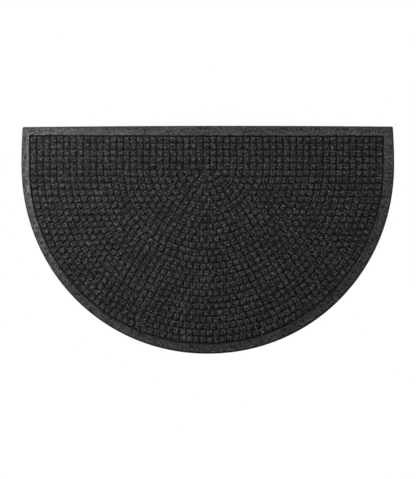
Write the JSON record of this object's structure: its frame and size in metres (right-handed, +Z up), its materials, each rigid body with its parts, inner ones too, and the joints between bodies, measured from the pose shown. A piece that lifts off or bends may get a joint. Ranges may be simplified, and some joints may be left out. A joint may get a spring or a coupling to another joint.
{
  "type": "half round doormat",
  "caption": "Flat half round entrance mat: moulded charcoal felt face with square nubs, a flat border band and a thin rubber backing that shows as a rim.",
  "frame": {"origin": "middle of the mat's length and depth, on the floor under the rubber backing", "axes": "+X along the straight edge, +Y from the round side towards the straight edge, +Z up out of the fibre face"},
  "size_m": [0.9906, 0.6056, 0.0095],
  "materials": {
    "charcoal_felt": "matt needle-punched felt, charcoal with light grey fibres in it, moulded into square nubs and pressed flat along the border",
    "backing_rubber": "matt moulded black rubber"
  },
  "bodies": {
    "root": {"fibre_face": "charcoal_felt", "rubber_backing": "backing_rubber"}
  },
  "joints": []
}
